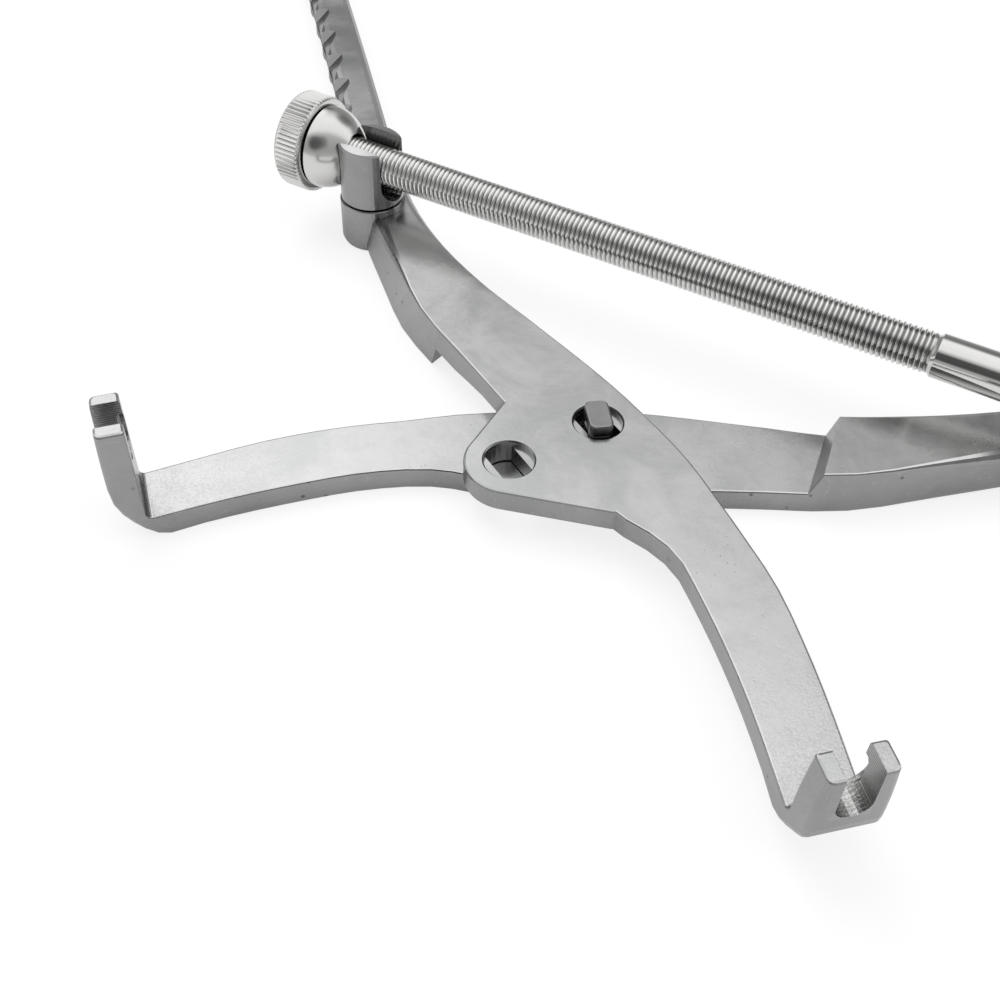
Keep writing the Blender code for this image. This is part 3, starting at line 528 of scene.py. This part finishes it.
def knurl(point, radius, i):
    """Straight rounded teeth on the rim."""
    if radius < WHEEL_RADIUS - KNURL_EDGE:
        return point
    phase = (i % KNURL_STEPS) / KNURL_STEPS
    depth = KNURL_DEPTH * min(1.0, (radius - WHEEL_RADIUS + KNURL_EDGE) / KNURL_FADE)
    drop = depth * (0.5 - 0.5 * math.cos(2.0 * math.pi * phase)) ** KNURL_POWER
    scale = (radius - drop) / radius
    return Vector((point.x, point.y * scale, point.z * scale))


def wheel_mesh():
    """Ring with a knurled rim and a bevelled bore."""
    profile = [(WHEEL_BACK + WHEEL_BEVEL, WHEEL_BORE), (WHEEL_BACK, WHEEL_BORE + WHEEL_BEVEL)]
    profile += [(WHEEL_BACK + along, WHEEL_RADIUS - drop) for along, drop in BACK_RIM]
    profile += [(WHEEL_FRONT - along, WHEEL_RADIUS - drop) for along, drop in FRONT_RIM]
    profile += [(WHEEL_FRONT, WHEEL_BORE + WHEEL_BEVEL), (WHEEL_FRONT - WHEEL_BEVEL, WHEEL_BORE)]
    return lathe(profile, KNURLS * KNURL_STEPS, knurl)


# Finishes of the solids that stay: arms, posts, washers and pins

def dress(name, material):
    """New material and smooth shading on a CAD node's own mesh."""
    mesh = nodes[name].data
    mesh.materials.clear()
    mesh.materials.append(material)
    shade(mesh, SHARP_ANGLE)


post_steel = satin_steel("post_steel", tone=0.56, rough=0.20)
pin_steel = satin_steel("pin_steel", tone=0.36, rough=0.28)
bright_steel = polished_steel("bright_steel", tone=0.64, rough=0.05)
nut_steel = polished_steel("nut_steel", tone=0.61, rough=0.17)
thread_steel = polished_steel("thread_steel", tone=0.70, rough=0.12, waves=0.3,
                              groove=(THREAD_ROOT, SPINDLE_RADIUS - 0.08))
knurl_steel = polished_steel("knurl_steel", tone=0.61, rough=0.14, waves=0.3)

for name, angle, facing in (("lower_arm", 180.0 + FORK_PLACE, 180.0 + FORK_ANGLE),
                            ("upper_arm", -FORK_PLACE, -FORK_ANGLE)):
    fork = (polar(angle + TURN, FORK_REACH), math.radians(facing + TURN))
    dress(name, satin_steel(name + "_satin", fork=fork))
for name in ("slotted_post", "clevis_post", "slotted_post_washer", "clevis_post_washer"):
    dress(name, post_steel)
dress("pivot_pin", pin_steel)
dress("hinge_pin", bright_steel)

# Spindle: the thread, the shank and the tongue together stand for one node
at_hinge = spindle_place(RIGHT_POST)
thread = finish_mesh("spindle_thread", thread_mesh(), thread_steel, "spindle", None, at_hinge,
                     sharp=25.0)
shank = finish_mesh("spindle_shank", shank_mesh(), bright_steel, "spindle", None, at_hinge)
finish_mesh("spindle_tongue", tongue_mesh(), bright_steel, "spindle", "threaded_spindle", at_hinge)
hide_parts("threaded_spindle")
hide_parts("threaded_spindle")

# Nut with the ball nose, and its wheel
at_nut = spindle_place(LEFT_POST, -NOSE_OFFSET)
finish_mesh("nut_ball", nut_mesh(), nut_steel, "nut", "ball_nut", at_nut, sharp=28.0)
finish_mesh("nut_wheel", wheel_mesh(), knurl_steel, "nut", "knurled_wheel", at_nut, sharp=50.0)


# Studio: lengths of floor, tent, lamps and camera clips in metres
TENT_RADIUS, TENT_SINK, TENT_STRENGTH = 2.5, 0.002, 1.5
TENT_SEGMENTS, TENT_RINGS, RIM_PLAY = 48, 24, 0.001
FLOOR_MARGIN, FLOOR_SIDES = 0.1, 96
PAPER_LEVEL, PAPER_ROUGH, PAPER_GLOSS = 0.93, 0.9, 0.1
WHITE_TO_EYE, WHITE_TO_METAL = 0.8, 0.35
WORLD_SEEN, WORLD_LIGHT = (1.0, 1.0, 1.0, 1.0), (0.55, 0.55, 0.56, 1.0)

# Angle in turns of 180 degrees from the near horizon over the top, and level: 0.667 is white
TENT_LEVELS = ((0.0, 0.42), (0.05, 0.38), (0.10, 0.34), (0.32, 0.42), (0.43, 0.85), (0.64, 0.92),
               (0.73, 0.70), (0.78, 0.44), (0.84, 0.24), (1.0, 0.28))
# Bearing and elevation of the centre, inner and outer radius in degrees, level, share
TENT_PATCHES = ((-150.0, 34.0, 12.0, 24.0, 0.05, 0.95), (-172.0, 40.0, 6.0, 22.0, 0.08, 0.8),
                (-23.0, 44.0, 8.0, 19.0, 1.05, 0.9), (41.0, 36.0, 3.0, 22.0, 0.10, 0.9),
                (-2.0, 29.0, 1.0, 9.0, 0.05, 0.8))

# Camera, found by fitting the drawing to the photograph
CAMERA_BEARING, CAMERA_DOWN = math.radians(27.746), math.radians(46.84)
CAMERA_ROLL = math.radians(2.33)
CAMERA_PLACE = Vector((62.34, -156.61, 156.26 + ARM_TOP))
CAMERA_LENS, SENSOR_WIDTH = 44.04, 36.0
CLIP_NEAR, CLIP_FAR = 0.01, 50.0


def white_paper():
    """Matt paper that eye and metal see partly as plain white, under its own shadows."""
    material = bpy.data.materials.new("white_paper")
    material.use_nodes = True
    tree = material.node_tree
    shader = tree.nodes["Principled BSDF"]
    shader.inputs["Base Color"].default_value = (PAPER_LEVEL, PAPER_LEVEL, PAPER_LEVEL, 1.0)
    shader.inputs["Roughness"].default_value = PAPER_ROUGH
    shader.inputs["Specular IOR Level"].default_value = PAPER_GLOSS
    path = tree.nodes.new("ShaderNodeLightPath")
    part = None
    for kind, share in (("Is Camera Ray", WHITE_TO_EYE), ("Is Transmission Ray", WHITE_TO_EYE),
                        ("Is Glossy Ray", WHITE_TO_METAL)):
        step = tree.nodes.new("ShaderNodeMath")
        step.operation = "MULTIPLY_ADD"
        tree.links.new(path.outputs[kind], step.inputs[0])
        step.inputs[1].default_value = share
        step.inputs[2].default_value = 0.0
        if part is not None:
            tree.links.new(part.outputs[0], step.inputs[2])
        part = step
    glow = tree.nodes.new("ShaderNodeEmission")
    blend = tree.nodes.new("ShaderNodeMixShader")
    tree.links.new(part.outputs[0], blend.inputs["Fac"])
    tree.links.new(shader.outputs[0], blend.inputs[1])
    tree.links.new(glow.outputs[0], blend.inputs[2])
    tree.links.new(blend.outputs[0], tree.nodes["Material Output"].inputs["Surface"])
    return material


def floor_disc():
    """Round floor that reaches a little past the tent."""
    bm = bmesh.new()
    bmesh.ops.create_circle(bm, cap_ends=True, segments=FLOOR_SIDES,
                            radius=TENT_RADIUS + FLOOR_MARGIN)
    add_object("floor", bm, white_paper())


def world_light():
    """White surroundings for what the eye and the metal see, softer light for everything else."""
    world = bpy.data.worlds.new("studio")
    bpy.context.scene.world = world
    world.use_nodes = True
    tree = world.node_tree
    back = tree.nodes["Background"]
    path = tree.nodes.new("ShaderNodeLightPath")
    either = tree.nodes.new("ShaderNodeMath")
    either.operation = "MAXIMUM"
    tree.links.new(path.outputs["Is Camera Ray"], either.inputs[0])
    tree.links.new(path.outputs["Is Glossy Ray"], either.inputs[1])
    last = tree.nodes.new("ShaderNodeMath")
    last.operation = "MAXIMUM"
    tree.links.new(either.outputs[0], last.inputs[0])
    tree.links.new(path.outputs["Is Transmission Ray"], last.inputs[1])
    mix = tree.nodes.new("ShaderNodeMix")
    mix.data_type = "RGBA"
    tree.links.new(last.outputs[0], mix.inputs["Factor"])
    mix.inputs[6].default_value = WORLD_LIGHT
    mix.inputs[7].default_value = WORLD_SEEN
    tree.links.new(mix.outputs[2], back.inputs["Color"])
    back.inputs["Strength"].default_value = 1.0


def add_camera():
    """Adds the camera, and gives the heading that it looks along, in radians about Z."""
    sin_b, cos_b = math.sin(CAMERA_BEARING), math.cos(CAMERA_BEARING)
    sin_d, cos_d = math.sin(CAMERA_DOWN), math.cos(CAMERA_DOWN)
    right = Vector((cos_b, sin_b, 0.0))
    up = Vector((-sin_b * sin_d, cos_b * sin_d, cos_d))
    away = Vector((-sin_b * cos_d, cos_b * cos_d, -sin_d))
    tilted_right = right * math.cos(CAMERA_ROLL) + up * math.sin(CAMERA_ROLL)
    tilted_up = up * math.cos(CAMERA_ROLL) - right * math.sin(CAMERA_ROLL)
    look = Matrix((tilted_right, tilted_up, -away)).transposed().to_4x4()
    turn = Matrix.Rotation(math.radians(TURN), 4, "Z")
    data = bpy.data.cameras.new("camera")
    data.lens = CAMERA_LENS
    data.sensor_width = SENSOR_WIDTH
    data.clip_start = CLIP_NEAR
    data.clip_end = CLIP_FAR
    camera = bpy.data.objects.new("camera", data)
    bpy.context.scene.collection.objects.link(camera)
    camera.matrix_world = turn @ Matrix.Translation(CAMERA_PLACE * MM) @ look
    bpy.context.scene.camera = camera
    ahead = (turn @ away.to_4d()).to_3d()
    return math.atan2(ahead.y, ahead.x)


def around(heading, bearing, elevation, distance):
    """Point at a bearing clockwise from the heading and an elevation, both in degrees."""
    start = heading - math.radians(bearing)
    level, rise = math.cos(math.radians(elevation)), math.sin(math.radians(elevation))
    return Vector((math.cos(start) * level, math.sin(start) * level, rise)) * distance


def area_lamp(name, place, width, power):
    """Square lamp that shines at the origin and isn't mirrored in the metal."""
    data = bpy.data.lights.new(name, "AREA")
    data.shape = "RECTANGLE"
    data.size = data.size_y = width
    data.energy = power
    lamp = bpy.data.objects.new(name, data)
    bpy.context.scene.collection.objects.link(lamp)
    lamp.location = place
    lamp.rotation_mode = "QUATERNION"
    lamp.rotation_quaternion = (-place).to_track_quat("-Z", "Y")
    lamp.visible_glossy = False


def tent_material():
    """Lit cloth: its level from the near side over the top to the far side, with a few patches."""
    g = Graph("tent_cloth", 0.0)
    split = g.add("ShaderNodeSeparateXYZ")
    g.link(g.where, split.inputs[0])
    angle = g.math("ARCTAN2", split.outputs["Z"], g.times(split.outputs["Y"], -1.0))
    level = g.ramp(g.math("DIVIDE", angle, math.pi), TENT_LEVELS, smooth=True)
    unit = g.add("ShaderNodeVectorMath", operation="NORMALIZE")
    g.link(g.where, unit.inputs[0])
    for bearing, elevation, inner, outer, change, share in TENT_PATCHES:
        b, e = math.radians(bearing), math.radians(elevation)
        centre = (math.sin(b) * math.cos(e), math.cos(b) * math.cos(e), math.sin(e))
        dot = g.add("ShaderNodeVectorMath", operation="DOT_PRODUCT")
        g.link(unit.outputs[0], dot.inputs[0])
        dot.inputs[1].default_value = centre
        patch = g.add("ShaderNodeMapRange", interpolation_type="SMOOTHSTEP")
        g.link(dot.outputs["Value"], patch.inputs["Value"])
        patch.inputs["From Min"].default_value = math.cos(math.radians(outer))
        patch.inputs["From Max"].default_value = math.cos(math.radians(inner))
        level = g.tint(level, patch.outputs["Result"], share, (change, change, change))
    glow = g.add("ShaderNodeEmission")
    g.link(level, glow.inputs["Color"])
    glow.inputs["Strength"].default_value = TENT_STRENGTH
    g.link(glow.outputs[0], g.tree.nodes["Material Output"].inputs["Surface"])
    return g.material


def light_tent(heading):
    """Light tent of cloth round and over the object, seen by the metal and not by the camera."""
    bm = bmesh.new()
    bmesh.ops.create_uvsphere(bm, u_segments=TENT_SEGMENTS, v_segments=TENT_RINGS,
                              radius=TENT_RADIUS)
    below = [v for v in bm.verts if v.co.z < -RIM_PLAY]
    bmesh.ops.delete(bm, geom=below, context="VERTS")
    tent = add_object("light_tent", bm, tent_material())
    tent.rotation_euler.z = heading - math.radians(90.0)
    tent.location.z = -TENT_SINK
    tent.visible_camera = False
    tent.visible_shadow = False


floor_disc()
world_light()
heading = add_camera()
key_place = around(heading, bearing=-40.0, elevation=58.0, distance=1.3)
fill_place = around(heading, bearing=115.0, elevation=50.0, distance=1.4)
area_lamp("key", key_place, width=0.8, power=6.0)
area_lamp("fill", fill_place, width=0.7, power=2.0)
light_tent(heading)

scene = bpy.context.scene
scene.view_settings.view_transform = "Standard"
